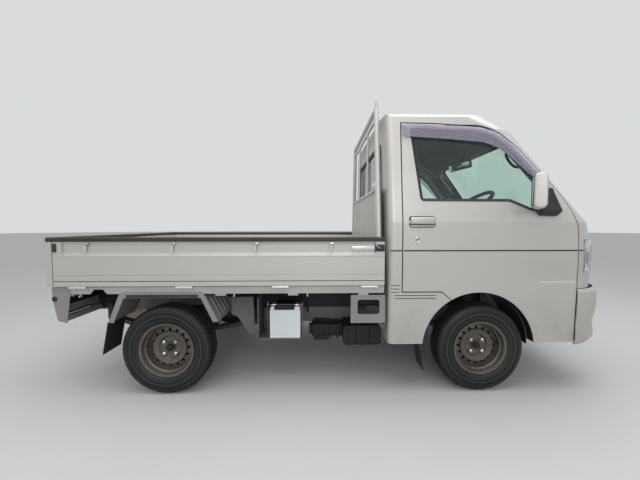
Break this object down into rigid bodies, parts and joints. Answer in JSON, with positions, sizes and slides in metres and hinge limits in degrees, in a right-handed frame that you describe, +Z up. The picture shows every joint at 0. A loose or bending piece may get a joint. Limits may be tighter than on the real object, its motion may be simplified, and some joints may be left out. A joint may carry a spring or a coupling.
{
  "type": "kei truck",
  "caption": "Forward-cab kei truck with drop-side bed, guard frame, opening doors and gates, steered front wheels and free-rolling wheels",
  "frame": {"origin": "ground level, half way along the truck's length, on its centre plane", "axes": "+X forward, +Y to the truck's left, +Z up"},
  "size_m": [3.395, 1.843, 1.815],
  "materials": {
    "body_paint": "warm silver-grey metallic paint",
    "rim_paint": "dark bronze-grey paint",
    "grey_steel": "grey primer paint",
    "chassis_steel": "black chassis paint",
    "exhaust_steel": "dull heat-stained steel",
    "tyre": "road tyre rubber",
    "rubber": "black flap rubber",
    "window_glass": "pale green tinted glass",
    "lamp_glass": "clear lamp lens",
    "lamp_red": "red lamp lens",
    "cap_plastic": "dark brown-black edge trim",
    "dark_plastic": "black moulded plastic",
    "mirror_plastic": "silver painted plastic",
    "battery_case": "translucent pale blue-white plastic",
    "seat_cloth": "grey woven seat cloth"
  },
  "bodies": {
    "root": {"cab_shell": "body_paint", "cab_back": "body_paint", "cab_floor": "body_paint", "cab_roof": "body_paint", "nose_panel": "body_paint", "windscreen": "window_glass", "rear_window": "window_glass", "front_bumper": "body_paint", "headlamps": "lamp_glass", "dashboard": "dark_plastic", "seat_left": "seat_cloth", "seat_right": "seat_cloth", "bed_floor": "body_paint", "headboard": "body_paint", "guard_frame": "body_paint", "rear_brackets": "grey_steel", "tail_lamps": "lamp_red", "rear_fenders": "grey_steel", "mud_flaps": "rubber", "ladder_frame": "chassis_steel", "bed_stands": "chassis_steel", "strut_towers": "chassis_steel", "side_brackets": "chassis_steel", "rear_axle": "chassis_steel", "front_suspension": "chassis_steel", "engine": "chassis_steel", "exhaust": "exhaust_steel", "fuel_tank": "dark_plastic", "battery_tray": "dark_plastic", "battery": "battery_case", "air_cleaner": "dark_plastic"},
    "door_left": {"door_left": "body_paint", "door_glass_left": "window_glass", "mirror_left": "mirror_plastic"},
    "door_right": {"door_right": "body_paint", "door_glass_right": "window_glass", "mirror_right": "mirror_plastic"},
    "gate_left": {"gate_left": "body_paint", "gate_cap_left": "cap_plastic"},
    "gate_right": {"gate_right": "body_paint", "gate_cap_right": "cap_plastic"},
    "tailgate": {"tailgate": "body_paint", "tailgate_cap": "cap_plastic"},
    "knuckle_left": {"knuckle_left": "chassis_steel"},
    "knuckle_right": {"knuckle_right": "chassis_steel"},
    "wheel_front_left": {"tyre_front_left": "tyre", "rim_front_left": "rim_paint"},
    "wheel_front_right": {"tyre_front_right": "tyre", "rim_front_right": "rim_paint"},
    "wheel_rear_left": {"tyre_rear_left": "tyre", "rim_rear_left": "rim_paint"},
    "wheel_rear_right": {"tyre_rear_right": "tyre", "rim_rear_right": "rim_paint"},
    "steering_wheel": {"steering_wheel": "dark_plastic"}
  },
  "joints": [
    {"name": "door_left_hinge", "type": "hinge", "parent": "root", "child": "door_left", "pos_m": [1.4085, 0.7375, 0.9], "axis": [0, 0, -1], "range_deg": [0, 65]},
    {"name": "door_right_hinge", "type": "hinge", "parent": "root", "child": "door_right", "pos_m": [1.4085, -0.7375, 0.9], "axis": [0, 0, 1], "range_deg": [0, 65]},
    {"name": "gate_left_hinge", "type": "hinge", "parent": "root", "child": "gate_left", "pos_m": [-0.6975, 0.7315, 0.654], "axis": [-1, 0, 0], "range_deg": [0, 175]},
    {"name": "gate_right_hinge", "type": "hinge", "parent": "root", "child": "gate_right", "pos_m": [-0.6975, -0.7315, 0.654], "axis": [1, 0, 0], "range_deg": [0, 175]},
    {"name": "tailgate_hinge", "type": "hinge", "parent": "root", "child": "tailgate", "pos_m": [-1.6915, 0, 0.654], "axis": [0, -1, 0], "range_deg": [0, 175]},
    {"name": "steer_left", "type": "hinge", "parent": "root", "child": "knuckle_left", "pos_m": [0.8625, 0.6, 0.16], "axis": [0, -0.1667, 0.986], "range_deg": [-32, 32]},
    {"name": "steer_right", "type": "hinge", "parent": "root", "child": "knuckle_right", "pos_m": [0.8625, -0.6, 0.16], "axis": [0, 0.1667, 0.986], "range_deg": [-32, 32]},
    {"name": "spin_front_left", "type": "hinge", "parent": "knuckle_left", "child": "wheel_front_left", "pos_m": [0.8625, 0.645, 0.268], "axis": [0, 1, 0], "continuous": true},
    {"name": "spin_front_right", "type": "hinge", "parent": "knuckle_right", "child": "wheel_front_right", "pos_m": [0.8625, -0.645, 0.268], "axis": [0, 1, 0], "continuous": true},
    {"name": "spin_rear_left", "type": "hinge", "parent": "root", "child": "wheel_rear_left", "pos_m": [-1.0375, 0.645, 0.268], "axis": [0, 1, 0], "continuous": true},
    {"name": "spin_rear_right", "type": "hinge", "parent": "root", "child": "wheel_rear_right", "pos_m": [-1.0375, -0.645, 0.268], "axis": [0, 1, 0], "continuous": true},
    {"name": "steering_wheel_turn", "type": "hinge", "parent": "root", "child": "steering_wheel", "pos_m": [0.9475, -0.345, 1.15], "axis": [-0.5736, 0, 0.8192], "range_deg": [-576, 576]}
  ],
  "couplings": [
    {"joint": "steer_right", "follows": "steer_left", "ratio": 1},
    {"joint": "steering_wheel_turn", "follows": "steer_left", "ratio": 18}
  ]
}
